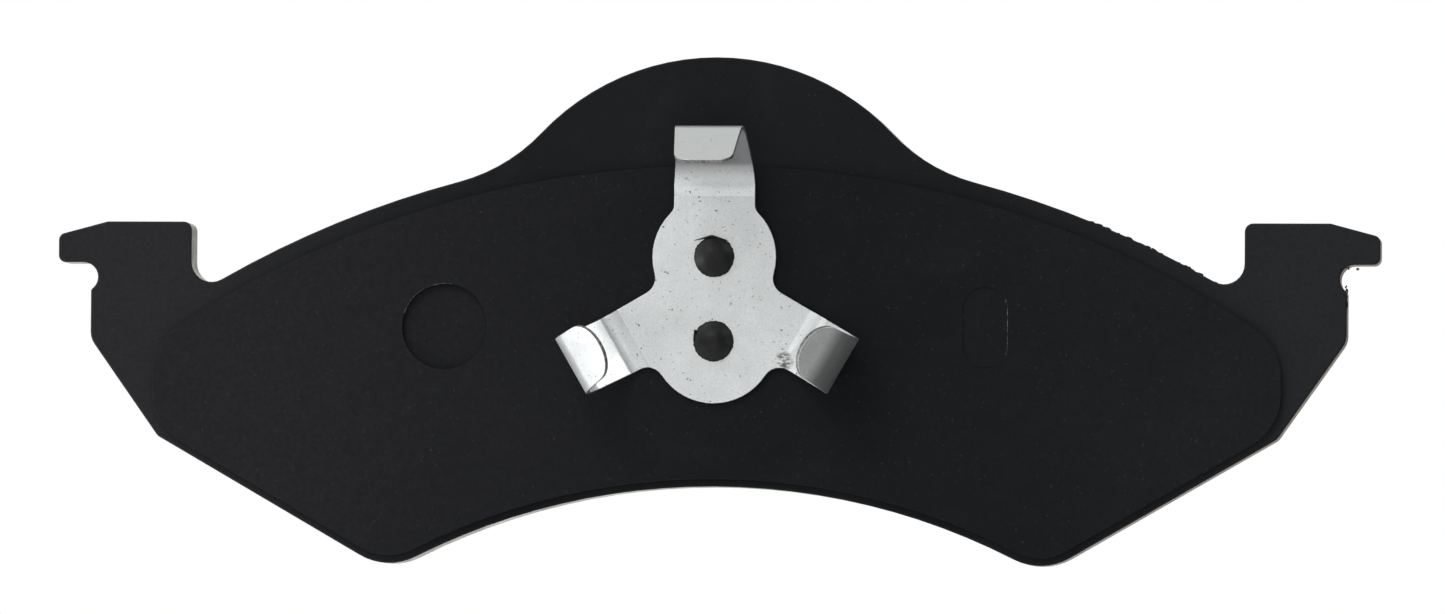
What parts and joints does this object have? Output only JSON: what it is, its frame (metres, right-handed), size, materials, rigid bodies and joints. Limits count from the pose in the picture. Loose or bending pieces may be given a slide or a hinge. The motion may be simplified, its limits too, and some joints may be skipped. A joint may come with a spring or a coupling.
{
  "type": "disc brake pad",
  "caption": "Eared disc brake pad for the piston side: steel backing plate, moulded friction block, noise shim and a riveted spring clip whose fingers snap into the hollow piston.",
  "frame": {"origin": "midway between the undersides of the two ears, in the plane of the backing plate's back face", "axes": "+X along the pad, +Z away from the wheel axle, +Y from the piston towards the rotor"},
  "size_m": [0.189, 0.0365, 0.0722],
  "materials": {
    "plate_paint": "satin black powder coat on steel",
    "underlayer": "matt moulded bonding compound",
    "friction": "ground semi-metallic friction compound with metal flecks",
    "damping_film": "thin bonded damping film",
    "shim_steel": "cold rolled sheet steel",
    "rubber_coat": "satin black rubber coat",
    "spring_steel": "pale zinc plate on spring steel",
    "rivet": "satin black"
  },
  "bodies": {
    "pad": {"backing_plate": "plate_paint", "friction_underlayer": "underlayer", "friction_block": "friction", "shim_damping_film": "damping_film", "shim_steel_core": "shim_steel", "shim_rubber_coat": "rubber_coat", "clip_hub": "spring_steel", "clip_rivet_upper": "rivet", "clip_rivet_lower": "rivet"},
    "finger_top": {"clip_finger_top": "spring_steel"},
    "finger_right": {"clip_finger_right": "spring_steel"},
    "finger_left": {"clip_finger_left": "spring_steel"}
  },
  "joints": [
    {"name": "flex_top", "type": "hinge", "parent": "pad", "child": "finger_top", "pos_m": [0, -0.0015, 0.01145], "axis": [1, 0, 0], "range_deg": [0, 8], "stiffness_Nm_per_rad": 0.4},
    {"name": "flex_right", "type": "hinge", "parent": "pad", "child": "finger_right", "pos_m": [0.0133, -0.0015, -0.01158], "axis": [-0.5, 0, -0.866], "range_deg": [0, 8], "stiffness_Nm_per_rad": 0.4},
    {"name": "flex_left", "type": "hinge", "parent": "pad", "child": "finger_left", "pos_m": [-0.0133, -0.0015, -0.01158], "axis": [-0.5, 0, 0.866], "range_deg": [0, 8], "stiffness_Nm_per_rad": 0.4}
  ]
}
